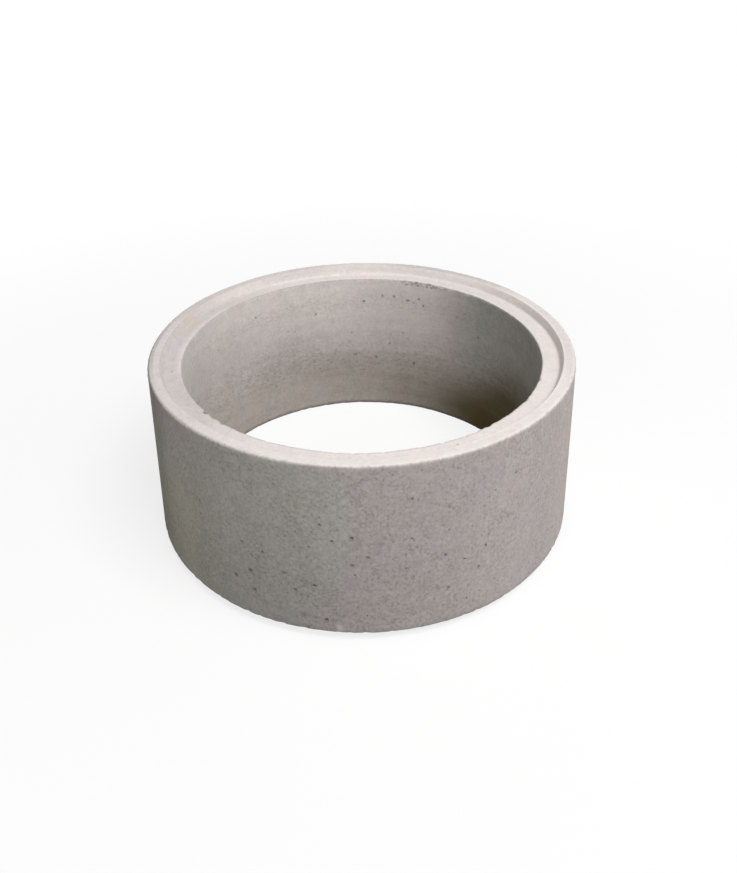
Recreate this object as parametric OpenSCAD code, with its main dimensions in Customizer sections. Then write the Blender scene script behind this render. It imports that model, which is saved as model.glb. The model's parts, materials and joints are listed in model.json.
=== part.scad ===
// One-piece precast concrete ring for culverts, wells and shafts.
// The top end has a rebate and the bottom end has the spigot that fits the rebate of the ring below.
// Millimetres. The origin is on the ring's axis at the level of the spigot's tip, with +Z up.

/* [Ring] */
// Clear diameter of the bore
bore_d = 1000; // [800:10:1500]
// Thickness of the wall
wall = 90; // [75:1:150]
// Overall height, from the spigot's tip to the top of the lip
height = 500; // [250:10:1000]

/* [Rebated joint] */
// Depth of the rebate, from the top of the lip down to the ledge
rebate_depth = 24; // [16:1:40]
// Width of the lip, before its edges are rounded
lip_w = 32; // [20:1:40]
// Distance that the step face leans in between its top edge and its foot
step_run = 9; // [0:1:20]
// Gap between the step face and the spigot of the ring above, measured level
joint_gap = 4; // [2:0.5:8]
// Height left for mortar between the ledge and the spigot of the ring above
mortar_bed = 2; // [0:0.5:6]

/* [Arrises] */
// Radius of the lip's outer edge
lip_outer_r = 7; // [2:0.5:12]
// Radius of the lip's inner edge
lip_inner_r = 3; // [1:0.5:6]
// Radius of the hollow at the foot of the step
step_foot_r = 5; // [1:0.5:8]
// Radius of the ledge's inner edge
ledge_r = 4; // [1:0.5:10]
// Radius of both edges of the spigot's tip
spigot_tip_r = 4; // [1:0.5:6]
// Radius of the hollow where the spigot meets the shoulder
spigot_root_r = 3; // [1:0.5:6]
// Radius of the shoulder's outer edge
shoulder_r = 3; // [1:0.5:8]

/* [Hidden] */

// Steps round the ring, and along the arc of each rounded corner
ring_steps = 180;
arc_steps = 6;

// Main radii and levels
bore_r = bore_d / 2;
outer_r = bore_r + wall;
ledge_z = height - rebate_depth;
step_top = outer_r - lip_w;
step_foot = step_top - step_run;

// The spigot stands in the rebate with the gap all round it and the shoulder on the lip
spigot_len = rebate_depth - mortar_bed;
spigot_root = step_top - joint_gap;
spigot_tip = spigot_root - step_run * spigot_len / rebate_depth;

// Section of the wall, anticlockwise: each corner's distance from the axis, level and rounding
corners = [
    [bore_r, 0, spigot_tip_r],
    [spigot_tip, 0, spigot_tip_r],
    [spigot_root, spigot_len, spigot_root_r],
    [outer_r, spigot_len, shoulder_r],
    [outer_r, height, lip_outer_r],
    [step_top, height, lip_inner_r],
    [step_foot, ledge_z, step_foot_r],
    [bore_r, ledge_z, ledge_r],
];
last = len(corners) - 1;

function point(i) = [corners[i][0], corners[i][1]];
function before(i) = point(i == 0 ? last : i - 1);
function after(i) = point(i == last ? 0 : i + 1);
function toward(from, to) = (to - from) / norm(to - from);

// Points of the arc that touches both edges of a corner: steps along its chord, pushed out to the arc
function arc_points(i) =
    let (
        r = corners[i][2],
        back = toward(point(i), before(i)),
        onward = toward(point(i), after(i)),
        half_angle = acos(back * onward) / 2,
        start = point(i) + back * r / tan(half_angle),
        end = point(i) + onward * r / tan(half_angle),
        centre = point(i) + toward([0, 0], back + onward) * r / sin(half_angle)
    )
    [for (k = [0 : arc_steps]) centre + r * toward(centre, start + (end - start) * k / arc_steps)];

module wall_section() {
    polygon([for (i = [0 : last]) each arc_points(i)]);
}

module concrete_ring() {
    color([0.68, 0.65, 0.63]) rotate_extrude($fn = ring_steps) wall_section();
}

concrete_ring();
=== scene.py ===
"""Looks of a precast concrete culvert ring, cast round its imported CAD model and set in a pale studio.

Laid out as a Blender add-on and run as a script. Lengths are in metres, in the frame of the CAD model: the
origin is on the ring's axis at the level of the spigot's tip, and +Z is up. Angles round the ring are
anticlockwise from +X, seen from above. The camera looks along +Y: east is its right and north its far side.
"""

import json
import math

import bpy
import numpy as np
from bpy.props import FloatProperty, FloatVectorProperty, IntProperty, PointerProperty
from bpy.types import Operator, Panel, PropertyGroup
from collections import namedtuple
from functools import partial, reduce
from mathutils import Matrix, Vector
from operator import add, mul


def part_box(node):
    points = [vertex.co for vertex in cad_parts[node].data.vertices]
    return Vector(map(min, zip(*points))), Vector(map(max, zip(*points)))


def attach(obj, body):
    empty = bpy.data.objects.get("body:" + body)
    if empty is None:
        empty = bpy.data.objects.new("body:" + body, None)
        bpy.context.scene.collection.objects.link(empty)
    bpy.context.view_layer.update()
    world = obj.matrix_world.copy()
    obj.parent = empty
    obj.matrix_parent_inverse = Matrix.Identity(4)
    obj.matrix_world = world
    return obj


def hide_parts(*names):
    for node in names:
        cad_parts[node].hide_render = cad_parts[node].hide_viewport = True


bl_info = {
    "name": "Concrete Culvert Ring",
    "version": (1, 0, 0),
    "blender": (4, 5, 0),
    "location": "3D View > Sidebar > Culvert Ring",
    "description": "Casts a rebated concrete ring with its pores, chips and stains, and sets up its studio",
    "category": "Object",
}

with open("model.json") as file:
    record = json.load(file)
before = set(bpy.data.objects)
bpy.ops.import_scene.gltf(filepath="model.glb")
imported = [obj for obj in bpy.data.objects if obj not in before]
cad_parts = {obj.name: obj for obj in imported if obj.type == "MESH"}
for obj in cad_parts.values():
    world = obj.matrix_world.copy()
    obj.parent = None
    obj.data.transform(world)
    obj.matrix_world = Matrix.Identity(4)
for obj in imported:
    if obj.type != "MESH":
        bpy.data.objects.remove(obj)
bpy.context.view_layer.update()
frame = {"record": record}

RING_NODE = "concrete_ring"
RING_BODY = "root"
MM = 0.001
TURN = 2 * math.pi

mounts = {mount["name"]: mount for mount in frame["record"]["mounts"]}
ring_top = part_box(RING_NODE)[1]
bore_radius = mounts["bore"]["dims"]["r_mm"] * MM
ledge_level = mounts["ledge"]["pos_m"][2]
shoulder_level = mounts["shoulder"]["pos_m"][2]


def setting(kind, name, description, default, **options):
    """A value that a user can change."""
    return kind(name=name, description=description, default=default, **options)


length = partial(setting, FloatProperty, unit="LENGTH", subtype="DISTANCE")
angle = partial(setting, FloatProperty, subtype="ANGLE")
power = partial(setting, FloatProperty, unit="POWER")
focal_length = partial(setting, FloatProperty, unit="CAMERA")
ratio = partial(setting, FloatProperty)
share = partial(setting, FloatProperty, min=0, max=1, subtype="FACTOR")
number = partial(setting, IntProperty)
colour = partial(setting, FloatVectorProperty, size=3, min=0, max=1, subtype="COLOR")


class RingSizes(PropertyGroup):
    """Sizes of the ring's section: the main ones come from the CAD model."""

    outer_radius: length("Outer radius", "Distance from the axis to the outer wall", ring_top.x)
    bore_radius: length("Bore radius", "Distance from the axis to the bore", bore_radius)
    height: length("Height", "From the spigot's tip to the top of the lip", ring_top.z)
    ledge_level: length("Ledge level", "Level of the ledge inside the lip", ledge_level)
    shoulder_level: length("Shoulder level", "Level of the shoulder over the spigot", shoulder_level)
    lip_width: length("Lip width", "Width of the lip before its edges are rounded", 32 * MM)
    step_run: length("Step run", "How far the step face leans in from its top to its foot", 9 * MM)
    joint_gap: length("Joint gap", "Level gap between the step face and the spigot of the next ring", 4 * MM)
    lip_outer_round: length("Lip outer rounding", "Radius of the lip's outer edge", 7 * MM)
    lip_inner_round: length("Lip inner rounding", "Radius of the lip's inner edge", 3 * MM)
    step_foot_round: length("Step foot rounding", "Radius of the hollow at the foot of the step", 5 * MM)
    ledge_round: length("Ledge rounding", "Radius of the ledge's inner edge", 4 * MM)
    tip_round: length("Spigot tip rounding", "Radius of both edges of the spigot's tip", 4 * MM)
    root_round: length("Spigot root rounding", "Radius of the hollow between spigot and shoulder", 3 * MM)
    shoulder_round: length("Shoulder rounding", "Radius of the shoulder's outer edge", 3 * MM)


class CastingMarks(PropertyGroup):
    """What the mould and handling left on the concrete."""

    seed: number("Seed", "Seed of every random place and shape", 7)
    columns: number("Columns", "Mesh columns round the walls, twice as many on top", 400)
    wall_rows: number("Wall rows", "Mesh rows up each wall", 42)
    swell: length("Swell", "Slow unevenness of every face", 0.5 * MM)
    ripple: length("Ripple", "Short unevenness of the edges", 0.35 * MM)
    outer_pores: number("Outer pores", "Open pores in the outer wall", 330)
    bore_pores: number("Bore pores", "Open pores in the bore", 200)
    edge_chips: number("Edge chips", "Small chips along each worn edge", 90)


class ConcreteLook(PropertyGroup):
    """Colours and finish of the concrete."""

    mauve_grey: colour("Mauve grey", "Warm side of the wall", (0.522, 0.466, 0.451))
    green_grey: colour("Green grey", "Cool side of the wall", (0.514, 0.489, 0.454))
    end_skin: colour("End skin", "Pale cement skin of the lip, the step and the ledge", (0.813, 0.747, 0.727))
    # Dark of dirt and grains, and painted shade inside pores and pinholes
    pore_shade: colour("Pore shade", "Dirt inside the pores", (0.12, 0.108, 0.095))
    broken_face: colour("Broken face", "Fresh concrete inside the chips", (0.50, 0.465, 0.44))
    # Brown of the damp, which is also painted shade low in the bore and at its right
    damp_and_shade_brown: colour("Damp brown", "Brown soiling low in the bore", (0.115, 0.088, 0.030))
    rust_mark: colour("Rust mark", "Faint yellow mark beside the step", (0.66, 0.55, 0.42))
    roughness: share("Roughness", "Roughness of dry concrete", 0.9)
    shine: share("Shine", "Strength of the concrete's faint shine", 0.25)
    grain: length("Grain", "Height of the sandy grain", 0.35 * MM)
    grain_bump: share("Grain bump", "Strength of the sandy grain", 0.7)


class StudioSetup(PropertyGroup):
    """Camera, lamps and floor."""

    lens: focal_length("Lens", "Focal length on a sensor 36 mm long", 36.974)
    shift_right: ratio("Shift right", "Sideways shift of the frame", 0.00539)
    shift_up: ratio("Shift up", "Upward shift of the frame", -0.2079)
    view_height: angle("View angle", "Camera's angle above the horizon", math.radians(22.004))
    view_roll: angle("View roll", "Camera's roll about its own axis", math.radians(-0.907))
    view_distance: length("View distance", "From the camera to the point that it aims at", 2.4262)
    aim_right: length("Aim right", "Aim point's distance from the axis along +X", 10.4 * MM)
    aim_level: length("Aim level", "Aim point's level on the axis", 0.7653)
    key_power: power("Key lamp", "Power of the lamp at the front right", 600)
    side_power: power("Side lamp", "Power of the low lamp at the right", 75)
    fill_power: power("Fill lamp", "Power of the low lamp at the front left", 105)
    back_power: power("Back lamp", "Power of the low lamp behind the ring", 130)
    lamp_distance: length("Lamp distance", "From the ring's middle to each lamp", 8.0)
    lamp_size: length("Lamp size", "Side of each square lamp", 4.4)
    room_light: ratio("Room light", "Strength of the even light of the room", 0.05)
    floor_size: length("Floor size", "Side of the square floor", 40.0)
    floor_white: share("Floor white", "Brightness of the floor where the lamps light it", 0.95)
    floor_bounce: share("Floor bounce", "Brightness of the floor as the ring sees it", 0.30)
    floor_glow: share("Floor glow", "Share of the floor's white beside the ring that needs no lamp", 0.8)
    shadow_start: length("Shadow start", "Distance from the axis up to which the floor shows shadow", 1.0)
    shadow_reach: length("Shadow reach", "Distance from the axis at which the floor is all white", 3.0)


# Smooth limits of a zone, read along one field. A rise goes from 0 at its start to 1 at its end; a band is 1
# at its middle and 0 at its reach. A noise can move a limit to and fro by its wander.
Rise = namedtuple("Rise", "of start end wander noise", defaults=(0.0, "cloud"))
Band = namedtuple("Band", "of middle reach wander noise", defaults=(0.0, "cloud"))
Zone = namedtuple("Zone", "name amount limits")
Noise = namedtuple("Noise", "cells detail roughness contrast offset", defaults=(0.0, None))
Holes = namedtuple("Holes", "cells edge core chance dirt depth")


def zone(name, amount, *limits):
    """A part of the surface where all the limits hold, with the amount that it adds to a tone there."""
    return Zone(name, amount, limits)


# Noises with their cells a metre, and how far each lightens and darkens the concrete
NOISES = {
    "cloud": Noise(3.2, 3.0, 0.55, contrast=0.14),
    "blotch": Noise(32.0, 2.0, 0.6, contrast=0.34),
    "mottle": Noise(125.0, 2.0, 0.6, contrast=0.64),
    "sand": Noise(260.0, 2.0, 0.7, contrast=0.16),
    "streaks": Noise((30.0, 30.0, 95.0), 2.0, 0.5, contrast=0.18),
    "layers": Noise((1.5, 1.5, 26.0), 2.0, 0.55, contrast=0.26),
    "tint": Noise(8.0, 2.0, 0.55, offset=(3.0, 1.0, 2.0)),
    "crowd": Noise(9.0, 2.0, 0.5),
    "rough": Noise((80.0, 80.0, 130.0), 2.0, 0.6),
    "ragged": Noise((75.0, 75.0, 95.0), 2.0, 0.6),
}
NOISE_MIDDLE = 0.5
PAINTED_VALUES = ("end_skin", "chip", "pore")
LEVEL_PLANE = (1.0, 1.0, 0.0)

# Parts of the ring: east, north and level are in metres, and what is past an edge is in millimetres
IN_BORE = Rise("past_bore", 6, 1)
ON_LEDGE = Rise("past_step_foot", 2, -3)
ON_STEP = Band("past_step_foot", 5, 8)
ON_LIP = Rise("past_step_top", -2, 3)
RIM = Rise("past_outer", -17, -12)
AT_BACK = Rise("north", 0.25, 0.45)
LIP_AT_BACK = (ON_LIP, AT_BACK, Rise("east", 0.02, 0.18))
SKIN_COVER = Rise("end_skin", 0.25, 0.75, 0.25, "mottle")

# The wall is cool at the left and warm at the right outside, and the other way round in the bore
BORDER_WANDER = 0.06
BORDER_SHIFTS = (
    zone("low bulge of the border", 0.03, Rise("level", 0.27, 0.19, 0.08, "blotch")),
    zone("foot bulge of the border", 0.10, Rise("level", 0.14, 0.07, 0.08, "blotch")),
    zone("border under the rim", 0.09, Rise("level", 0.470, 0.484)),
)
WARM_OUTSIDE = (
    zone("warm right of the border", 1.0, Rise("border", -0.05, -0.018)),
    zone("warm top left", 0.8, Rise("east", -0.34, -0.46), Rise("level", 0.38, 0.46)),
)
WARM_INSIDE = (
    zone("warm bore", 1.0, Rise("east", 0.37, 0.32, 0.10)),
    zone("cool patch", -0.6, Band("east", -0.15, 0.14), Band("level", 0.41, 0.10)),
    zone("cool left of the bore", -0.35, Rise("east", -0.40, -0.46), Rise("north", 0.13, 0.05)),
)

# How much lighter or darker than its plain colour the concrete is: mostly painted light and shade, lighter
# where the light falls and darker where it misses
# Painted light that lifts the whole bore
BORE_PAINTED_LIFT = 0.06
# Painted light at the bore's top and low at its left, painted shade on its right wall, which faces away from
# the light
BORE_PAINTED_LIGHT = (
    zone("pale top", 0.47, Rise("level", 0.14, 0.49, 0.15), Rise("east", 0.41, 0.18)),
    zone("pale low left", 0.10, Band("level", 0.20, 0.18), Rise("east", -0.30, -0.38)),
    zone("dim right", -0.11, Rise("east", 0.24, 0.37)),
)
# Painted light and shade on the outer wall: lighter towards the right, where the light falls, with lighter
# and darker bands near the left edge, and darker low at the left
OUTER_PAINTED_LIGHT = (
    zone("pale right", 0.12, Rise("east", 0.18, 0.42)),
    zone("pale far right", 0.12, Rise("east", 0.46, 0.53)),
    zone("pale left", 0.10, Rise("east", -0.40, -0.45), Rise("east", -0.54, -0.48)),
    zone("dim left of the border", -0.05, Band("east", -0.18, 0.16)),
    zone("dim far left", -0.20, Rise("east", -0.49, -0.55)),
    zone("dim foot", -0.10, Rise("level", 0.40, 0.06), Rise("east", 0.25, 0.0)),
)
# Painted light and shade on the top end: on the step's faces, in the hollow at the step's foot, on the
# rounded edges and on parts of the ledge and the lip; the lip at the back is darker
SKIN_DARKER = 0.02
SKIN_PAINTED_LIGHT = (
    zone("clean step at the right", 0.15, Band("past_step_top", 0, 9), Rise("east", 0.05, 0.35)),
    zone("clean step at the left", 0.06, ON_STEP, Rise("east", -0.25, -0.45)),
    zone("grey step at the back", -0.06, ON_STEP, Rise("north", 0.40, 0.52)),
    zone("dirt at the foot of the step", -0.07, Band("past_step_foot", -1, 5), Rise("east", 0.15, -0.05)),
    zone("grey edge of the step in front", -0.05, Band("past_step_top", 1, 4), Rise("north", 0.05, -0.15)),
    zone("clean ledge at the back", 0.03, ON_LEDGE, AT_BACK),
    zone("grey ledge at the back right", -0.06, ON_LEDGE, AT_BACK, Rise("east", 0.05, 0.25)),
    zone("grey edge of the ledge in front", -0.14, Rise("past_bore", 10, 3), Rise("north", -0.2, -0.4)),
    zone("grey lip at the back", -0.19, *LIP_AT_BACK),
    zone("grey lip at the right", -0.06, ON_LIP, Rise("east", 0.50, 0.56)),
    zone("grey outer edge at the left", -0.14, Rise("past_outer", -8, -3), Rise("east", -0.1, -0.4)),
    zone("grey rim at the left", -0.20, RIM, Rise("east", -0.40, -0.50), Band("north", 0, 0.3)),
)
# Painted shade on the ledge's rounded inner edge, against the light that it catches
LEDGE_EDGE_PAINTED_SHADE = zone("dark edge of the ledge", 0.30, Rise("past_bore", 4, 2.5), Rise("above_ledge", -4.5, -2))

# Painted shade on the left of the top end, away from the light, up to a slanting line, and fainter in some
# parts of it
SHADE_SLANT = 0.45
LEFT_OF_SLANT = Rise("from_slant", -0.24, -0.45)
BESIDE_AXIS = (Rise("north", -0.2, -0.05), Rise("north", 0.36, 0.24))
LEFT_PAINTED_SHADE = (
    zone("grey left", 0.22, LEFT_OF_SLANT),
    zone("fainter at the back", -0.12, LEFT_OF_SLANT, Rise("north", 0.2, 0.45)),
)
FAINTER_LEFT_SHADE = (
    zone("ledge at the back left", 1.0, ON_LEDGE, Rise("north", 0.38, 0.5)),
    zone("lip at the left", 0.5, ON_LIP, Rise("north", 0.32, 0.12)),
    zone("inner ledge", 0.65, Rise("past_bore", 26, 6), *BESIDE_AXIS),
)

# Tints that multiply the colour
UNTINTED = (1.0, 1.0, 1.0)
LIP_BACK_TINT = (0.96, 0.99, 0.985)
BLUE_TINT = (0.992, 1.0, 1.0)
YELLOW_TINT = (1.0, 0.995, 0.98)
OCHRE_TINT = (1.04, 1.03, 0.93)
BORE_TINT = (0.978, 1.0, 1.0)
BORE_FOOT_TINT = (0.99, 1.0, 0.955)
YELLOW_PATCHES = Rise("tint", 0.38, 0.62)
BORE_FOOT = Rise("level", 0.26, 0.14)
OCHRE_LEFT = (
    zone("ochre left", 1.0, Rise("east", -0.30, -0.50)),
    zone("less ochre high up", -0.8, Rise("east", -0.30, -0.50), Rise("level", 0.24, 0.42)),
)

# Share of the walls' texture that the pale skin and the bore hide
SKIN_HIDES_CLOUD = 0.5
SKIN_HIDES_GRAIN = 0.7
SKIN_HIDES_SPECKLE = 0.8
BORE_HIDES_GRAIN = 0.35
BORE_HIDES_SPECKLE = 0.85

# Fine speckle in loose clusters: dark grains, small pinholes and larger soft ones; the pinholes are darkened
# with dirt and painted shade
CROWDED = zone("crowded front", 0.12, Band("east", 0.02, 0.22))
CROWD_PULL = 0.8
CHANCE_BLUR = 0.05
DARK_GRAINS = zone("dark grains", 0.15, Rise("mottle", 0.47, 0.33), Rise("crowd", 0.40, 0.62))
PINHOLES = (
    Holes(120.0, edge=0.48, core=0.12, chance=0.62, dirt=0.18, depth=1.0),
    Holes(60.0, edge=0.30, core=0.08, chance=0.76, dirt=0.32, depth=1.6),
)

# Bore: bands that the turning mould left rough, with short level ripples
RIPPLES = Rise("rough", 0.50, 0.36)
ROUGH_BANDS = (
    zone("low rough band", 1.0, Band("level", 0.20, 0.14, 0.12)),
    zone("high rough band", 0.6, Band("level", 0.40, 0.06, 0.10)),
)
RIPPLE_DIRT = 0.24
RIPPLE_DEPTH = 1.4

# Bore: brown damp towards the foot, worst at the right where it climbs, which also paints shade low in the
# bore and at its right
CLIMB_SLOPE = 0.6
CLIMB_WANDER = 0.12
CLIMB_DROP = zone("higher damp at the far right", 0.05, Rise("east", 0.42, 0.48))
DAMP_FOOT = Rise("level", 0.26, 0.02, 0.2, "layers")
TIDE_LINE = (Band("level", 0.155, 0.09, 0.06), Rise("east", -0.45, -0.1))
DAMP_AND_SHADE = (
    zone("climbing damp", 0.66, Rise("east", 0.14, 0.42, 0.2), Rise("climb", 0.02, -0.15)),
    zone("damp foot", 0.23, DAMP_FOOT, Rise("east", -0.3, 0.1)),
    zone("damper foot at the right", 0.14, DAMP_FOOT, Rise("east", 0.03, 0.16)),
    zone("tide line", 0.14, *TIDE_LINE),
    zone("fainter tide line at the right", -0.07, *TIDE_LINE, Rise("east", -0.02, 0.12)),
)

# Single marks
FOOT_DIRT = zone("dirt along the bore's foot", 0.45, Rise("level", 0.016, 0.005, 0.012, "mottle"))
UNDER_LEDGE_EDGE = (Rise("past_bore", 40, 30), Band("above_ledge", -6, 10), Rise("ragged", 0.42, 0.60))
BACK_RIGHT = (Rise("east", 0.10, 0.15), Rise("east", 0.31, 0.22), Rise("north", 0.0, 0.1))
# A dark ragged line under the broken edge at the back right
BROKEN_EDGE = zone("dirt in the broken edge", 0.68, *UNDER_LEDGE_EDGE, *BACK_RIGHT)
BACK_LEFT_SPOT = (Band("east", -0.515, 0.045), Band("north", 0.19, 0.06))
RUST_MARK = zone("mark beside the step", 0.75, *BACK_LEFT_SPOT, Rise("mottle", 0.3, 0.7))
FRONT_FOOT_SPOT = (Band("east", -0.061, 0.014), Band("level", 0.036, 0.020), Rise("north", 0.0, -0.1))
PALE_PATCH = zone("patch at the front's foot", 0.6, *FRONT_FOOT_SPOT)
CHIP_FRESHNESS = 0.5
# Dirt and painted shade inside the pores
PORE_DIRT_AND_SHADE = zone("dirt in the pores", 0.75, Rise("pore", 0.05, 0.95))

# Heights of the noises in the fine relief, as shares of the grain, and the swing of the roughness
GRAIN_HEIGHTS = {"sand": 0.3, "mottle": 1.0, "blotch": 0.8}
ROUGHNESS_SWING = 0.1


class Field:
    """A node's output that Python expressions use as a number, a colour or a vector."""

    def __init__(self, nodes, socket):
        self.nodes = nodes
        self.socket = socket

    def __add__(self, other):
        return self.nodes.combine("ADD", self, other)

    def __radd__(self, other):
        return self.nodes.combine("ADD", other, self)

    def __sub__(self, other):
        return self.nodes.combine("SUBTRACT", self, other)

    def __rsub__(self, other):
        return self.nodes.combine("SUBTRACT", other, self)

    def __mul__(self, other):
        return self.nodes.combine("MULTIPLY", self, other)

    def __rmul__(self, other):
        return self.nodes.combine("MULTIPLY", other, self)


class Nodes:
    """Adds nodes to one node tree."""

    def __init__(self, tree):
        self.tree = tree
        tree.nodes.clear()

    def add(self, kind, settings, sockets, output=0):
        """A node of that kind: settings first, then values or links of its sockets by name or number."""
        node = self.tree.nodes.new("ShaderNode" + kind)
        for name, value in settings.items():
            setattr(node, name, value)
        for key, value in sockets.items():
            self.feed(self.find(node.inputs, key), value)
        return Field(self, self.find(node.outputs, output)) if node.outputs else None

    @staticmethod
    def find(sockets, key):
        """A socket by its number, or by its identifier or name."""
        if isinstance(key, int):
            return sockets[key]
        return next(socket for socket in sockets if key in (socket.identifier, socket.name))

    def feed(self, socket, value):
        """Links a field to a socket, or sets the socket to a number, a colour or a vector."""
        if isinstance(value, Field):
            self.tree.links.new(value.socket, socket)
            return
        if socket.type in ("RGBA", "VECTOR") and isinstance(value, (int, float)):
            value = (value,) * 3
        socket.default_value = (*value, 1.0) if socket.type == "RGBA" else value

    def combine(self, operation, a, b):
        """A Math node for numbers, a Vector Math node for vectors, and a Mix node for colours."""
        kinds = {side.socket.type for side in (a, b) if isinstance(side, Field)}
        if "RGBA" in kinds:
            settings = {"data_type": "RGBA", "blend_type": operation}
            sockets = {"Factor_Float": 1.0, "A_Color": a, "B_Color": b}
            return self.add("Mix", settings, sockets, "Result_Color")
        kind = "VectorMath" if "VECTOR" in kinds else "Math"
        return self.add(kind, {"operation": operation}, {0: a, 1: b})

    def mix(self, a, b, amount):
        """Colour a where the amount is 0 and colour b where it is 1."""
        sockets = {"Factor_Float": amount, "A_Color": a, "B_Color": b}
        return self.add("Mix", {"data_type": "RGBA"}, sockets, "Result_Color")

    def rise(self, value, start, end):
        """0 before the start and 1 after the end, smooth between them; the end may be the lower value."""
        settings = {"interpolation_type": "SMOOTHSTEP"}
        if start < end:
            return self.add("MapRange", settings, {"Value": value, "From Min": start, "From Max": end})
        flipped = {"Value": value, "From Min": end, "From Max": start, "To Min": 1.0, "To Max": 0.0}
        return self.add("MapRange", settings, flipped)

    def band(self, value, middle, reach):
        """1 at the middle value, falling smoothly to 0 at that reach on both sides."""
        return self.rise(value, middle - reach, middle) * self.rise(value, middle + reach, middle)

    def size(self, vector):
        """Length of a vector."""
        return self.add("VectorMath", {"operation": "LENGTH"}, {0: vector}, "Value")

    def dots(self, place, holes, crowd):
        """1 in scattered round dots: there are more of them where the crowd value is above its middle."""
        cells = {"Vector": place, "Scale": holes.cells}
        from_middle = self.add("TexVoronoi", {}, cells, "Distance")
        lot = self.add("SeparateColor", {}, {0: self.add("TexVoronoi", {}, cells, "Color")}, "Red")
        drawn = lot + (crowd - NOISE_MIDDLE) * CROWD_PULL
        chosen = self.rise(drawn, holes.chance, holes.chance + CHANCE_BLUR)
        return self.rise(from_middle, holes.edge, holes.core) * chosen


class ConcreteFinish:
    """Pale cast concrete: cloudy grey walls, a lighter skin on the top end, speckle, dirt and stains, with
    painted light and shade on the walls, the top end and in the pores.
    """

    def __init__(self, look, sizes):
        self.look = look
        self.material = bpy.data.materials.new("Cast concrete")
        self.material.use_nodes = True
        self.nodes = Nodes(self.material.node_tree)
        self.place = self.nodes.add("TexCoord", {}, {}, "Object")
        self.fields = {**self.positions(sizes), **self.noises()}
        for name in PAINTED_VALUES:
            self.fields[name] = self.nodes.add("Attribute", {"attribute_name": name}, {}, "Fac")
        self.in_bore = self.mask(IN_BORE)
        self.outside = 1 - self.in_bore
        self.cover = self.mask(SKIN_COVER)
        self.body = self.plain_body()
        self.relief = reduce(add, [self.fields[name] * height for name, height in GRAIN_HEIGHTS.items()])
        self.add_tints()
        self.add_speckle()
        self.soil_and_shade_bore()
        self.add_marks()
        self.join_surface()

    def positions(self, sizes):
        """Places along the axes in metres, and distances past the ring's edges in millimetres."""
        east, north, level = (self.nodes.add("SeparateXYZ", {}, {0: self.place}, axis) for axis in "XYZ")
        distance = self.nodes.size(self.place * LEVEL_PLANE)
        step_top = sizes.outer_radius - sizes.lip_width
        edges = {
            "past_bore": (distance, sizes.bore_radius),
            "past_step_foot": (distance, step_top - sizes.step_run),
            "past_step_top": (distance, step_top),
            "past_outer": (distance, sizes.outer_radius),
            "above_ledge": (level, sizes.ledge_level),
        }
        past = {name: (along - edge) * (1 / MM) for name, (along, edge) in edges.items()}
        return {"east": east, "north": north, "level": level, **past}

    def noises(self):
        """All the noises, each from 0 to 1."""
        fields = {}
        for name, kind in NOISES.items():
            place = self.place + kind.offset if kind.offset else self.place
            grain = {"Scale": 1.0, "Detail": kind.detail, "Roughness": kind.roughness}
            fields[name] = self.nodes.add("TexNoise", {}, {"Vector": place * kind.cells, **grain})
        return fields

    def swing(self, name, amount=None):
        """A noise as a swing about zero, of that amount or else of its own contrast."""
        return (self.fields[name] - NOISE_MIDDLE) * (NOISES[name].contrast if amount is None else amount)

    def limit(self, limit):
        """1 inside a limit and 0 outside it."""
        value = self.fields[limit.of]
        if limit.wander:
            value = value + self.swing(limit.noise, limit.wander)
        if isinstance(limit, Band):
            return self.nodes.band(value, limit.middle, limit.reach)
        return self.nodes.rise(value, limit.start, limit.end)

    def mask(self, *limits):
        """1 where all the limits hold."""
        return reduce(mul, map(self.limit, limits))

    def part(self, patch):
        """What one zone adds, with the zone's name on its last node."""
        added = self.mask(*patch.limits) * patch.amount
        added.socket.node.label = patch.name
        return added

    def tone(self, zones):
        """What several zones add up to."""
        return reduce(add, map(self.part, zones))

    def wall_colour(self):
        """The cool and the warm grey of the walls."""
        east = self.fields["east"]
        self.fields["border"] = east + self.swing("cloud", BORDER_WANDER) + self.tone(BORDER_SHIFTS)
        warm_outside = self.tone(WARM_OUTSIDE)
        warmth = warm_outside + (self.tone(WARM_INSIDE) - warm_outside) * self.in_bore
        return self.nodes.mix(self.look.green_grey, self.look.mauve_grey, warmth)

    def wall_painted_light_and_layers(self):
        """Painted light and shade on the walls, with layers drawn out level by the turning mould in the bore.
        """
        bore = self.tone(BORE_PAINTED_LIGHT) + BORE_PAINTED_LIFT + self.swing("layers") + self.swing("streaks")
        return bore * self.in_bore + self.tone(OUTER_PAINTED_LIGHT) * self.outside

    def skin_painted_light(self):
        """Painted light and shade on the top end."""
        north_half = self.nodes.combine("MAXIMUM", self.fields["north"], 0.0)
        self.fields["from_slant"] = self.fields["east"] - north_half * SHADE_SLANT
        # Painted shade on the left of the top end
        grey = self.tone(LEFT_PAINTED_SHADE) * (1 - self.tone(FAINTER_LEFT_SHADE))
        return self.tone(SKIN_PAINTED_LIGHT) - grey - SKIN_DARKER

    def plain_body(self):
        """Colour of the clean concrete, with painted light and shade on the walls, the top end and the
        ledge's rounded edge.
        """
        cloudy = (self.swing("cloud") + self.swing("blotch")) * (1 - self.cover * SKIN_HIDES_CLOUD)
        grainy = (self.swing("mottle") + self.swing("sand")) * (1 - self.cover * SKIN_HIDES_GRAIN)
        grainy = grainy * (1 - self.in_bore * BORE_HIDES_GRAIN)
        # Painted light and shade on the walls and the top end
        painted_light_and_layers = self.wall_painted_light_and_layers() * (1 - self.cover) + self.skin_painted_light() * self.cover
        body = self.nodes.mix(self.wall_colour(), self.look.end_skin, self.cover)
        return body * (1 + cloudy + grainy + painted_light_and_layers) * (1 - self.part(LEDGE_EDGE_PAINTED_SHADE))

    def tint(self, a, b, amount):
        """Multiplies the colour by tint a where the amount is 0 and by tint b where it is 1."""
        self.body = self.body * self.nodes.mix(a, b, amount)

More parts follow.
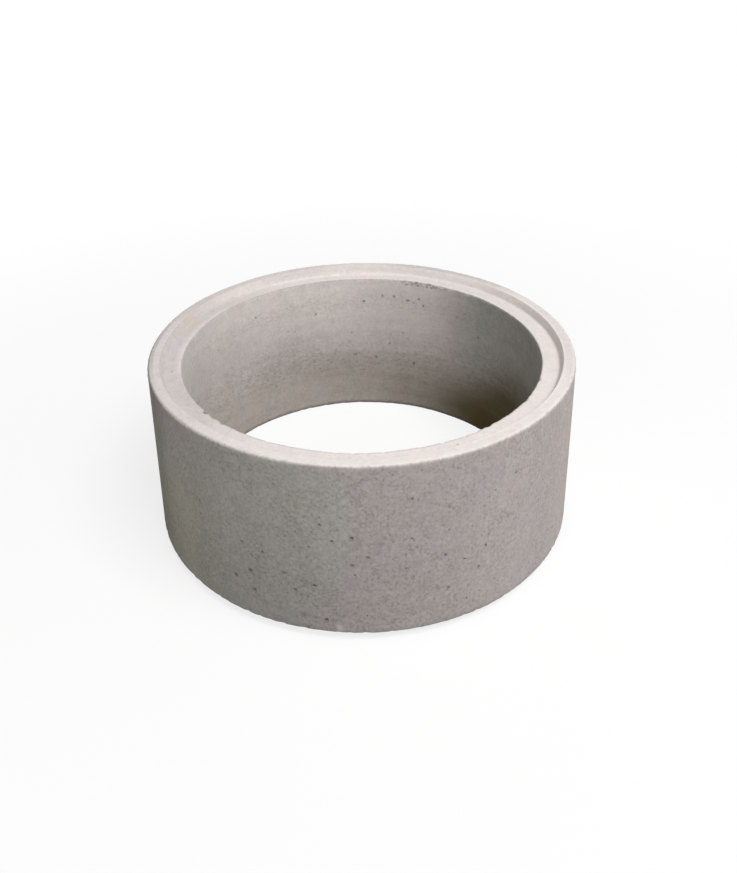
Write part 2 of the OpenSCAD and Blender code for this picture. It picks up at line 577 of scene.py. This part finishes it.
    def stain(self, stain_colour, amount):
        """Covers that share of the colour with another one."""
        self.body = self.nodes.mix(self.body, stain_colour, amount)

    def add_tints(self):
        """Parts that lean a little to blue, yellow or ochre."""
        self.tint(UNTINTED, LIP_BACK_TINT, self.mask(*LIP_AT_BACK))
        self.tint(BLUE_TINT, YELLOW_TINT, self.mask(YELLOW_PATCHES))
        self.tint(UNTINTED, OCHRE_TINT, self.tone(OCHRE_LEFT) * self.outside * (1 - self.cover))
        bore_tint = self.nodes.mix(BORE_TINT, BORE_FOOT_TINT, self.mask(BORE_FOOT))
        self.tint(UNTINTED, bore_tint, self.in_bore)

    def add_speckle(self):
        """Dark grains, and pinholes darkened with dirt and painted shade, mostly on the outer wall."""
        self.fields["crowd"] = self.fields["crowd"] + self.part(CROWDED)
        shown = (1 - self.fields["end_skin"] * SKIN_HIDES_SPECKLE) * (1 - self.in_bore * BORE_HIDES_SPECKLE)
        self.stain(self.look.pore_shade, self.part(DARK_GRAINS) * shown)
        for holes in PINHOLES:
            dots = self.nodes.dots(self.place, holes, self.fields["crowd"]) * shown
            # Dirt and painted shade in the pinholes
            self.stain(self.look.pore_shade, dots * holes.dirt)
            self.relief = self.relief - dots * holes.depth

    def soil_and_shade_bore(self):
        """Rough bands, brown damp that is also painted shade, and a line of dirt along the foot of the bore.
        """
        ripples = self.mask(RIPPLES) * self.tone(ROUGH_BANDS) * self.in_bore
        self.stain(self.look.pore_shade, ripples * RIPPLE_DIRT)
        self.relief = self.relief - ripples * RIPPLE_DEPTH
        slope = self.fields["level"] - self.fields["east"] * CLIMB_SLOPE
        self.fields["climb"] = slope + self.swing("cloud", CLIMB_WANDER) - self.part(CLIMB_DROP)
        self.stain(self.look.damp_and_shade_brown, self.in_bore * self.tone(DAMP_AND_SHADE))
        self.stain(self.look.pore_shade, self.in_bore * self.part(FOOT_DIRT))

    def add_marks(self):
        """Single marks, and what the mesh carries: chips, and pores darkened with dirt and painted shade."""
        skin = self.fields["end_skin"]
        self.stain(self.look.pore_shade, self.part(BROKEN_EDGE) * (1 - skin))
        self.stain(self.look.rust_mark, self.part(RUST_MARK) * skin)
        self.stain(self.look.end_skin, self.part(PALE_PATCH) * self.outside)
        self.stain(self.look.broken_face, self.fields["chip"] * CHIP_FRESHNESS)
        self.stain(self.look.pore_shade, self.part(PORE_DIRT_AND_SHADE))

    def join_surface(self):
        """Feeds the colour, the roughness and the relief to the shader."""
        look = self.look
        bump = {"Strength": look.grain_bump, "Distance": look.grain, "Height": self.relief}
        surface = {
            "Base Color": self.body,
            "Roughness": look.roughness + self.swing("blotch", ROUGHNESS_SWING),
            "Specular IOR Level": look.shine,
            "Normal": self.nodes.add("Bump", {}, bump),
        }
        self.nodes.add("OutputMaterial", {}, {"Surface": self.nodes.add("BsdfPrincipled", {}, surface)})


Corner = namedtuple("Corner", "name distance level rounding")
Row = namedtuple("Row", "face distance level across up fine skin")
Chip = namedtuple("Chip", "corner angle half_width reach depth dirt")
Pit = namedtuple("Pit", "face angle place radius dirt", defaults=(0.75,))
PoreRing = namedtuple("PoreRing", "width drop dirt")
WornEdge = namedtuple("WornEdge", "corner width depth")

# The face that follows each corner, the parts with twice the columns, the faces that lie level, the steps
# round each rounding, and the shares of a face's length at which it has a row
FACES = ("tip", "spigot", "shoulder", "outer", "lip", "step", "ledge", "bore")
FINE_CORNERS = ("lip_outer", "lip_inner", "step_foot", "ledge_inner")
FINE_FACES = ("lip", "step", "ledge")
LEVEL_FACES = ("lip", "ledge")
FINE_STEPS = 5
PLAIN_STEPS = 3
PLAIN_SHARES = (0.33, 0.67)
LIP_SHARES = (0.25, 0.5, 0.75)
LEDGE_SHARES = (0.18, 0.36, 0.54, 0.68, 0.78, 0.85, 0.90, 0.95)
UNDER_LEDGE = 0.006

# The pale skin at the start of the ledge's inner rounding, and how fast it fades round it: the skin ends at
# this edge, and its early fade also darkens the rounding as painted shade where it would catch the light
LEDGE_SKIN = 0.6
LEDGE_SKIN_SHADE_FADE = 1.2

# Marks that can be told apart in the photograph: angles in degrees, lengths in millimetres
KNOWN_CHIPS = (
    Chip("ledge_inner", 73.2, 11, 8, 2.0, 0.4),
    Chip("ledge_inner", 68.6, 8, 9, 2.6, 0.7),
    Chip("ledge_inner", 66.9, 7, 8, 2.0, 0.5),
    Chip("ledge_inner", 63.6, 12, 9, 2.8, 0.7),
    Chip("ledge_inner", 59.5, 9, 7, 1.8, 0.3),
    Chip("ledge_inner", 98, 10, 8, 2.4, 0.3),
    Chip("ledge_inner", -141, 9, 10, 4.5, 0.8),
    Chip("ledge_inner", -137.5, 14, 9, 3.2, 0.3),
    Chip("ledge_inner", -133, 8, 9, 3.2, 0.5),
    Chip("ledge_inner", -34, 16, 7, 2.4, 0.0),
    Chip("ledge_inner", -21, 12, 8, 2.8, 0.0),
)
KNOWN_PITS = (
    Pit("ledge", -168, 532, 3.8, 0.5),
    Pit("ledge", -164, 521, 2.6, 0.4),
    Pit("ledge", -147.5, 523, 2.6, 0.4),
    Pit("ledge", -65, 522, 2.8, 0.7),
    Pit("bore", 72.6, 465, 2.8, 1.0),
    Pit("bore", 67.6, 465, 3.1, 1.0),
    Pit("bore", 64.0, 465, 3.1, 1.0),
    Pit("bore", 62.7, 465, 2.6, 1.0),
    Pit("bore", 89.4, 396, 4.8),
    Pit("bore", 82, 415, 3.7),
    Pit("bore", 77.3, 411, 3.9),
    Pit("bore", 72.2, 404, 4.8),
    Pit("bore", 67.4, 414, 3.9),
    Pit("bore", 65.4, 399, 3.9),
    Pit("bore", 41.5, 336, 4.1),
    Pit("bore", 92.5, 194, 4.1),
    Pit("bore", 84.6, 178, 3.4),
    Pit("bore", 69, 174, 5.1),
    Pit("bore", 108, 362, 3.7),
    Pit("bore", 133.5, 409, 3.7),
    Pit("outer", -122, 128, 5.2, 0.95),
    Pit("outer", -118.3, 157, 4.8, 0.95),
    Pit("outer", -116.7, 105, 4.6, 0.95),
    Pit("outer", -120, 238, 3.9),
    Pit("outer", -114, 222, 3.9),
    Pit("outer", -109, 186, 3.9),
    Pit("outer", -106.4, 133, 3.9),
    Pit("outer", -101.4, 161, 5.1),
    Pit("outer", -100.2, 337, 4.1),
    Pit("outer", -98.7, 58, 5.3),
    Pit("outer", -97.6, 297, 4.1),
    Pit("outer", -93, 303, 4.8),
    Pit("outer", -92.8, 225, 5.1),
    Pit("outer", -89, 251, 4.8),
    Pit("outer", -79.2, 406, 4.3),
    Pit("outer", -79.4, 292, 3.9),
    Pit("outer", -70.2, 121, 4.3),
    Pit("outer", -70.7, 231, 4.3),
    Pit("outer", -66.2, 198, 3.7),
    Pit("outer", -61.7, 164, 4.1),
    Pit("outer", -60.2, 217, 3.9),
    Pit("outer", -51.7, 383, 3.7),
    Pit("outer", -40.5, 68, 3.7),
)

# Edges that get knocked, with the width and depth of the largest random chip, and the chips' other sizes
WORN_EDGES = (
    WornEdge("ledge_inner", 16, 2.4),
    WornEdge("lip_outer", 16, 0.7),
    WornEdge("shoulder_outer", 18, 1.8),
    WornEdge("tip_inner", 16, 1.8),
)
CHIP_SIZES = (0.3, 1.0)
LEAST_HALF_WIDTH = 2
LEAST_REACH = 3
EXTRA_REACH = 4
CHIP_UNEVEN = (0.6, 1.15)

# Depths in millimetres at which a chip looks all fresh and holds all of its dirt
FRESH_DEPTH = 1.2
DIRT_DEPTH = 2.0

# Share of the edges' ripple that the ledge has, and the angle between faces from which an edge is sharp
LEDGE_RIPPLE = 0.4
SHARP_ANGLE = math.radians(38)

# Pores: mesh cells that one may take up across, room left round it, ranges of its shape, and its lining,
# whose dirt is dirt and painted shade, darker deeper in
BLOCK_SIZES = (1, 2, 3, 4)
ROOM_ROUND_PORE = 1.2
FIRST_SPOKE = -0.75 * math.pi
PORE_STRETCH = (0.8, 1.2)
PORE_UNEVEN = (0.82, 1.12)
PORE_DEPTH = (0.35, 0.65)
PORE_RINGS = (PoreRing(1.0, 0.0, 0.5), PoreRing(0.8, 0.5, 0.85), PoreRing(0.45, 0.88, 1.0))

# Random pores: margins at the ends of the wall, radius, and dirt that is also painted shade, how the clusters
# and the foot draw them, and the tries for each of them after which the wall counts as full
TOP_MARGIN = 20
FOOT_MARGIN = 15
LEAST_PORE = 1.6
EXTRA_PORE = 2.4
RANDOM_DIRT_AND_SHADE = (0.3, 0.65)
CLUSTER_BLUR = 0.6
LOW_PULL = (0.4, 1.0)
OUTER_LOW_SHARE = 0.75
BORE_LOW_SHARE = 0.3
TRIES_A_PORE = 50


class Waves:
    """A seeded swell round the ring: the sum of a few waves that close up after one turn."""

    def __init__(self, random, count, fewest, most, climb):
        self.lobes = random.integers(fewest, most, count)
        self.climb = random.uniform(-climb, climb, count)
        self.phase = random.uniform(0, TURN, count)

    def at(self, angles, level):
        """Height of the swell at those angles and that level."""
        turns = np.outer(angles, self.lobes) + np.outer(np.broadcast_to(level, angles.shape), self.climb)
        return np.cos(turns + self.phase).sum(1) / math.sqrt(len(self.lobes))


class RingSection:
    """The wall's section, anticlockwise from the bore's lower edge, cut into mesh rows."""

    def __init__(self, sizes, wall_rows):
        step_top = sizes.outer_radius - sizes.lip_width
        lean = sizes.step_run / (sizes.height - sizes.ledge_level)
        spigot_root = step_top - sizes.joint_gap
        spigot_tip = spigot_root - lean * sizes.shoulder_level
        self.corners = (
            Corner("tip_inner", sizes.bore_radius, 0.0, sizes.tip_round),
            Corner("tip_outer", spigot_tip, 0.0, sizes.tip_round),
            Corner("spigot_root", spigot_root, sizes.shoulder_level, sizes.root_round),
            Corner("shoulder_outer", sizes.outer_radius, sizes.shoulder_level, sizes.shoulder_round),
            Corner("lip_outer", sizes.outer_radius, sizes.height, sizes.lip_outer_round),
            Corner("lip_inner", step_top, sizes.height, sizes.lip_inner_round),
            Corner("step_foot", step_top - sizes.step_run, sizes.ledge_level, sizes.step_foot_round),
            Corner("ledge_inner", sizes.bore_radius, sizes.ledge_level, sizes.ledge_round),
        )
        even = np.arange(1, wall_rows) / wall_rows
        self.shares = {"outer": even, "bore": (UNDER_LEDGE, *even), "ledge": LEDGE_SHARES, "lip": LIP_SHARES}
        self.into = {}
        self.rows = []
        arcs = [self.arc(place) for place in range(len(self.corners))]
        for place, arc in enumerate(arcs):
            self.rows += arc
            self.rows += self.straight(FACES[place], arc[-1], arcs[(place + 1) % len(arcs)][0])

    def heading(self, place):
        """Unit vector from a corner to the next one."""
        start = self.corners[place]
        end = self.corners[(place + 1) % len(self.corners)]
        run = np.array((end.distance - start.distance, end.level - start.level))
        return run / np.hypot(*run)

    def arc(self, place):
        """Rows of the rounding that touches both edges of a corner."""
        corner = self.corners[place]
        arrive, leave = self.heading(place - 1), self.heading(place)
        turn = math.atan2(arrive[0] * leave[1] - arrive[1] * leave[0], arrive @ leave)
        bulge = math.copysign(corner.rounding, turn)
        outward = np.array((arrive[1], -arrive[0]))
        touch = np.array((corner.distance, corner.level)) - arrive * corner.rounding * math.tan(abs(turn) / 2)
        centre = touch - bulge * outward
        fine = corner.name in FINE_CORNERS
        steps = FINE_STEPS if fine else PLAIN_STEPS
        rows = []
        for part in np.arange(steps + 1) / steps:
            normal = math.cos(turn * part) * outward + math.sin(turn * part) * arrive
            skin = self.skin_round(corner.name, part)
            rows.append(Row(corner.name, *(centre + bulge * normal), *normal, fine, skin))
        middle = np.array((rows[0].across + rows[-1].across, rows[0].up + rows[-1].up))
        self.into[corner.name] = -middle / np.hypot(*middle)
        return rows

    @staticmethod
    def skin_round(corner, part):
        """How much of the pale skin there is that part of the way round a corner; round the ledge's inner
        edge it fades early, which paints shade on it.
        """
        if corner == "lip_outer":
            return part
        if corner == "ledge_inner":
            return max(0.0, LEDGE_SKIN - LEDGE_SKIN_SHADE_FADE * part)
        return float(corner in FINE_CORNERS)

    def straight(self, face, start, end):
        """Rows between two roundings."""
        fine = face in FINE_FACES
        rows = []
        for part in self.shares.get(face, PLAIN_SHARES):
            distance = start.distance + (end.distance - start.distance) * part
            level = start.level + (end.level - start.level) * part
            rows.append(Row(face, distance, level, start.across, start.up, fine, float(fine)))
        return rows


class RingCasting:
    """Vertices and faces of the ring, with its unevenness, chips and pores."""

    def __init__(self, sizes, marks):
        self.sizes = sizes
        self.marks = marks
        self.random = np.random.default_rng(marks.seed)
        self.section = RingSection(sizes, marks.wall_rows)
        self.rows = self.section.rows
        self.points = []
        self.values = {name: [] for name in PAINTED_VALUES}
        self.faces = []
        self.dug = set()
        self.swell = Waves(self.random, count=9, fewest=2, most=14, climb=9.0)
        self.ripple = Waves(self.random, count=24, fewest=60, most=260, climb=60.0)
        self.chips = list(KNOWN_CHIPS) + self.small_chips()
        self.first = [self.add_row(row) for row in self.rows]

    def columns(self, row):
        """Number of vertices in a row."""
        return self.marks.columns * (2 if row.fine else 1)

    def small_chips(self):
        """Small chips at random along the worn edges."""
        chips = []
        for edge in WORN_EDGES:
            for _ in range(self.marks.edge_chips):
                size = self.random.uniform(*CHIP_SIZES) ** 2
                where = self.random.uniform(0, 360)
                half_width = edge.width / 2 * size + LEAST_HALF_WIDTH
                reach = LEAST_REACH + EXTRA_REACH * size
                chips.append(Chip(edge.corner, where, half_width, reach, edge.depth * size, 0.0))
        return chips

    def add_points(self, points, skin, chip, pore):
        """Adds vertices with their painted values and returns the number of the first one."""
        first = len(self.points)
        self.points += points.tolist()
        for name, value in zip(PAINTED_VALUES, (skin, chip, pore)):
            self.values[name] += np.broadcast_to(value, len(points)).tolist()
        return first

    def add_row(self, row):
        """Adds one row of vertices and returns the number of its first one."""
        count = self.columns(row)
        angles = TURN * np.arange(count) / count
        out = self.marks.swell * self.swell.at(angles, row.level + row.distance)
        rounded = row.face in self.section.into
        if rounded or row.face == "ledge":
            strength = self.marks.ripple * (1.0 if rounded else LEDGE_RIPPLE)
            out = out + strength * self.ripple.at(angles, row.level)
        distance = row.distance + out * row.across
        level = row.level + out * row.up
        broken = np.zeros(count)
        dirty = np.zeros(count)
        for corner in self.section.corners:
            apart = math.hypot(row.distance - corner.distance, row.level - corner.level) / MM
            into = self.section.into[corner.name]
            for chip in self.chips:
                if chip.corner != corner.name or apart >= chip.reach:
                    continue
                along = (angles - math.radians(chip.angle) + math.pi) % TURN - math.pi
                across = np.abs(along) * corner.distance / MM / chip.half_width
                depth = np.clip(1 - across**2, 0, 1) * (1 - (apart / chip.reach) ** 2) * chip.depth
                depth *= self.random.uniform(*CHIP_UNEVEN, count)
                distance = distance + depth * MM * into[0]
                level = level + depth * MM * into[1]
                broken = np.maximum(broken, np.clip(depth / FRESH_DEPTH, 0, 1))
                dirty = np.maximum(dirty, np.clip(depth / DIRT_DEPTH, 0, 1) * chip.dirt)
        level = np.maximum(level, 0)
        points = np.stack((distance * np.cos(angles), distance * np.sin(angles), level), 1)
        return self.add_points(points, row.skin, broken, dirty)

    def vertex(self, row, column):
        """Number of the vertex in that row and column."""
        return self.first[row] + column % self.columns(self.rows[row])

    def dig(self, pit):
        """Replaces a small block of mesh cells with an open pore. Returns whether there was room for it."""
        places = [i for i, row in enumerate(self.rows) if row.face == pit.face]
        first = self.rows[places[0]]
        flat = pit.face in LEVEL_FACES
        along = [(self.rows[i].distance if flat else self.rows[i].level) / MM for i in places]
        count = self.columns(first)
        cell = TURN * first.distance / MM / count
        gaps = np.abs(np.diff(along))
        for size in BLOCK_SIZES:
            middles = [(along[i] + along[i + size]) / 2 for i in range(len(along) - size)]
            if not middles:
                return False
            nearest = int(np.argmin(np.abs(np.array(middles) - pit.place)))
            room = min(cell * size, gaps[nearest : nearest + size].sum()) / 2
            if room > pit.radius * ROOM_ROUND_PORE:
                break
        else:
            return False
        low = places[nearest]
        left = round(pit.angle / 360 * count - size / 2)
        cells = {(low + i, (left + j) % count) for i in range(size) for j in range(size)}
        if cells & self.dug:
            return False
        self.dug |= cells
        self.line_pore(low, left, size, pit)
        return True

    def line_pore(self, low, left, size, pit):
        """Joins the edge of the block to an irregular rim, and lines the hole under it."""
        edge = [self.vertex(low, left + j) for j in range(size)]
        edge += [self.vertex(low + i, left + size) for i in range(size)]
        edge += [self.vertex(low + size, left + size - j) for j in range(size)]
        edge += [self.vertex(low + size - i, left) for i in range(size)]
        centre = np.array([self.points[v] for v in edge]).mean(0)
        row = self.rows[low]
        turned = math.atan2(centre[1], centre[0])
        along = np.array((-math.sin(turned), math.cos(turned), 0.0))
        out = np.array((row.across * math.cos(turned), row.across * math.sin(turned), row.up))
        climb = np.cross(out, along)
        spokes = len(edge) * 2
        turns = FIRST_SPOKE + TURN * np.arange(spokes) / spokes
        stretch = self.random.uniform(*PORE_STRETCH)
        uneven = self.random.uniform(*PORE_UNEVEN, spokes)
        reach = np.outer(np.cos(turns) * stretch, along) + np.outer(np.sin(turns) / stretch, climb)
        reach = reach * uneven[:, None]
        radius = pit.radius * MM
        depth = radius * self.random.uniform(*PORE_DEPTH)
        skin = self.values["end_skin"][edge[0]]
        rings = []
        # Each ring of the lining is darker deeper in: dirt and painted shade
        for ring in PORE_RINGS:
            points = centre + reach * radius * ring.width - out * depth * ring.drop
            first = self.add_points(points, skin, 0.0, ring.dirt * pit.dirt)
            rings.append(range(first, first + spokes))
        bottom = self.add_points((centre - out * depth)[None], skin, 0.0, pit.dirt)
        rim = rings[0]
        for m in range(len(edge)):
            a, b = edge[m], edge[(m + 1) % len(edge)]
            p, q, s = rim[2 * m], rim[2 * m + 1], rim[(2 * m + 2) % spokes]
            self.faces += [(a, b, q), (b, s, q), (a, q, p)]
        for m in range(spokes):
            n = (m + 1) % spokes
            self.faces += [(outer[m], outer[n], inner[n], inner[m]) for outer, inner in zip(rings, rings[1:])]
            self.faces.append((rings[-1][m], rings[-1][n], bottom))

    def scatter_pores(self, face, count, low_share):
        """Pores at random, in loose clusters, with that share of them drawn towards the lower half."""
        cluster = Waves(self.random, count=12, fewest=3, most=40, climb=60.0)
        top = self.sizes.ledge_level / MM - TOP_MARGIN
        bottom = self.sizes.shoulder_level / MM + FOOT_MARGIN
        made = 0
        tries = 0
        while made < count:
            tries += 1
            if tries > count * TRIES_A_PORE:
                raise RuntimeError(f"no room for {count} pores on the {face}")
            where = self.random.uniform(0, 360)
            height = self.random.uniform()
            if self.random.uniform() < low_share:
                height *= self.random.uniform(*LOW_PULL)
            level = bottom + (top - bottom) * height
            if cluster.at(np.radians([where]), level * MM)[0] < self.random.normal(0, CLUSTER_BLUR):
                continue
            radius = LEAST_PORE + EXTRA_PORE * self.random.uniform() ** 2
            made += self.dig(Pit(face, where, level, radius, self.random.uniform(*RANDOM_DIRT_AND_SHADE)))

    def fill_faces(self):
        """Quads between the rows, with triangles where the columns double or halve."""
        at = self.vertex
        for i, row in enumerate(self.rows):
            k = (i + 1) % len(self.rows)
            above = self.rows[k]
            for j in range(min(self.columns(row), self.columns(above))):
                if row.fine == above.fine:
                    if (i, j) not in self.dug:
                        self.faces.append((at(i, j), at(i, j + 1), at(k, j + 1), at(k, j)))
                elif above.fine:
                    a, b = at(i, j), at(i, j + 1)
                    c, d, e = (at(k, 2 * j + m) for m in range(3))
                    self.faces += [(a, d, c), (a, b, d), (b, e, d)]
                else:
                    a, b = at(k, j), at(k, j + 1)
                    c, d, e = (at(i, 2 * j + m) for m in range(3))
                    self.faces += [(c, d, a), (d, b, a), (d, e, b)]

    def mesh(self):
        """The finished mesh, with the pores' rims sharp and the rest smooth."""
        for pit in KNOWN_PITS:
            if not self.dig(pit):
                raise RuntimeError(f"no room for the pit at {pit.angle} degrees on the {pit.face}")
        self.scatter_pores("outer", self.marks.outer_pores, OUTER_LOW_SHARE)
        self.scatter_pores("bore", self.marks.bore_pores, BORE_LOW_SHARE)
        self.fill_faces()
        mesh = bpy.data.meshes.new(RING_NODE)
        mesh.from_pydata(self.points, [], self.faces)
        for name, values in self.values.items():
            mesh.attributes.new(name, "FLOAT", "POINT").data.foreach_set("value", values)
        mesh.shade_smooth()
        mesh.set_sharp_from_angle(angle=SHARP_ANGLE)
        mesh.validate()
        return mesh


class CULVERT_OT_cast_ring(Operator):
    """Cast the concrete ring over its CAD node"""

    bl_idname = "culvert.cast_ring"
    bl_label = "Cast Concrete Ring"

    def execute(self, context):
        scene = context.scene
        mesh = RingCasting(scene.ring_sizes, scene.casting_marks).mesh()
        mesh.materials.append(ConcreteFinish(scene.concrete_look, scene.ring_sizes).material)
        ring = bpy.data.objects.new("cast_ring", mesh)
        scene.collection.objects.link(ring)
        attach(ring, RING_BODY)
        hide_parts(RING_NODE)
        return {"FINISHED"}


# Rays that see the studio's white, and the lamps: angle round the ring and above the horizon, in degrees
SEEN_RAYS = ("Is Camera Ray", "Is Glossy Ray", "Is Transmission Ray")
WHITE = 1.0
FULL_STRENGTH = 1.0
Lamp = namedtuple("Lamp", "name power angle climb")
LAMPS = (
    Lamp("key_lamp", "key_power", -50, 61),
    Lamp("side_lamp", "side_power", 5, 20),
    Lamp("fill_lamp", "fill_power", -112, 20),
    Lamp("back_lamp", "back_power", 92, 16),
)


def seen_directly(nodes):
    """1 for the camera, reflections and glass, and 0 for the light that reaches the ring."""
    rays = [nodes.add("LightPath", {}, {}, name) for name in SEEN_RAYS]
    return reduce(lambda a, b: nodes.combine("MAXIMUM", a, b), rays)


def floor_material(setup):
    """White floor that keeps the ring's shadow, and is darker as the ring sees it."""
    material = bpy.data.materials.new("Studio floor")
    material.use_nodes = True
    nodes = Nodes(material.node_tree)
    distance = nodes.size(nodes.add("TexCoord", {}, {}, "Object"))
    lit_share = nodes.rise(distance, setup.shadow_reach, setup.shadow_start) * (1 - setup.floor_glow)
    glow = nodes.add("Emission", {}, {"Color": WHITE, "Strength": FULL_STRENGTH})
    lit = nodes.add("BsdfDiffuse", {}, {"Color": setup.floor_white})
    shown = nodes.add("MixShader", {}, {0: lit_share, 1: glow, 2: lit})
    bounce = nodes.add("BsdfDiffuse", {}, {"Color": setup.floor_bounce})
    surface = nodes.add("MixShader", {}, {0: seen_directly(nodes), 1: bounce, 2: shown})
    nodes.add("OutputMaterial", {}, {"Surface": surface})
    return material


def add_floor(scene, setup):
    """A square floor under the ring."""
    half = setup.floor_size / 2
    corners = [(-half, -half, 0), (half, -half, 0), (half, half, 0), (-half, half, 0)]
    mesh = bpy.data.meshes.new("floor")
    mesh.from_pydata(corners, [], [(0, 1, 2, 3)])
    mesh.materials.append(floor_material(setup))
    floor = bpy.data.objects.new("floor", mesh)
    scene.collection.objects.link(floor)


def add_lamp(scene, setup, kind):
    """A square soft lamp that faces the ring's middle."""
    light = bpy.data.lights.new(kind.name, "AREA")
    light.shape = "SQUARE"
    light.size = setup.lamp_size
    light.energy = getattr(setup, kind.power)
    round_ring, climb = math.radians(kind.angle), math.radians(kind.climb)
    level_run = math.cos(climb)
    away = Vector((level_run * math.cos(round_ring), level_run * math.sin(round_ring), math.sin(climb)))
    middle = Vector((0, 0, scene.ring_sizes.height / 2))
    lamp = bpy.data.objects.new(kind.name, light)
    lamp.location = middle + away * setup.lamp_distance
    lamp.rotation_mode = "QUATERNION"
    lamp.rotation_quaternion = (-away).to_track_quat("-Z", "Y")
    scene.collection.objects.link(lamp)


def set_room(scene, setup):
    """An even room light, white where it is seen."""
    world = bpy.data.worlds.new("Studio room")
    world.use_nodes = True
    nodes = Nodes(world.node_tree)
    dim = nodes.add("Background", {}, {"Color": WHITE, "Strength": setup.room_light})
    white = nodes.add("Background", {}, {"Color": WHITE, "Strength": FULL_STRENGTH})
    surface = nodes.add("MixShader", {}, {0: seen_directly(nodes), 1: dim, 2: white})
    nodes.add("OutputWorld", {}, {"Surface": surface})
    scene.world = world


def set_camera(scene, setup):
    """The camera at the photograph's viewing angle."""
    lens = bpy.data.cameras.new("Camera")
    lens.lens = setup.lens
    lens.shift_x = setup.shift_right
    lens.shift_y = setup.shift_up
    camera = bpy.data.objects.new("Camera", lens)
    forward = Vector((0, math.cos(setup.view_height), -math.sin(setup.view_height)))
    up = Vector((0, math.sin(setup.view_height), math.cos(setup.view_height)))
    side = Vector((1, 0, 0))
    right = math.cos(setup.view_roll) * side + math.sin(setup.view_roll) * up
    top = math.cos(setup.view_roll) * up - math.sin(setup.view_roll) * side
    turn = Matrix((right, top, -forward)).transposed().to_4x4()
    aim = Vector((setup.aim_right, 0, setup.aim_level))
    camera.matrix_world = Matrix.Translation(aim - forward * setup.view_distance) @ turn
    scene.collection.objects.link(camera)
    scene.camera = camera


class CULVERT_OT_set_studio(Operator):
    """Set the floor, the lamps and the camera round the ring"""

    bl_idname = "culvert.set_studio"
    bl_label = "Set Up Studio"

    def execute(self, context):
        scene = context.scene
        setup = scene.studio_setup
        add_floor(scene, setup)
        for kind in LAMPS:
            add_lamp(scene, setup, kind)
        set_room(scene, setup)
        set_camera(scene, setup)
        scene.view_settings.view_transform = "Standard"
        return {"FINISHED"}


class CULVERT_PT_ring(Panel):
    """Lists the ring's operators and settings"""

    bl_idname = "CULVERT_PT_ring"
    bl_label = "Culvert Ring"
    bl_space_type = "VIEW_3D"
    bl_region_type = "UI"
    bl_category = "Culvert Ring"

    def draw(self, context):
        for operator, groups in PANEL_ROWS:
            self.layout.operator(operator.bl_idname)
            for group in groups:
                settings = getattr(context.scene, group)
                box = self.layout.box()
                for name in settings.__annotations__:
                    box.prop(settings, name)


PANEL_ROWS = (
    (CULVERT_OT_cast_ring, ("ring_sizes", "casting_marks", "concrete_look")),
    (CULVERT_OT_set_studio, ("studio_setup",)),
)
SETTINGS = {
    "ring_sizes": RingSizes,
    "casting_marks": CastingMarks,
    "concrete_look": ConcreteLook,
    "studio_setup": StudioSetup,
}
CLASSES = (*SETTINGS.values(), CULVERT_OT_cast_ring, CULVERT_OT_set_studio, CULVERT_PT_ring)


def register():
    for cls in CLASSES:
        bpy.utils.register_class(cls)
    for name, group in SETTINGS.items():
        setattr(bpy.types.Scene, name, PointerProperty(type=group))


def unregister():
    for name in SETTINGS:
        delattr(bpy.types.Scene, name)
    for cls in reversed(CLASSES):
        bpy.utils.unregister_class(cls)


def main():
    register()
    bpy.ops.culvert.cast_ring()
    bpy.ops.culvert.set_studio()


if __name__ == "__main__":
    main()
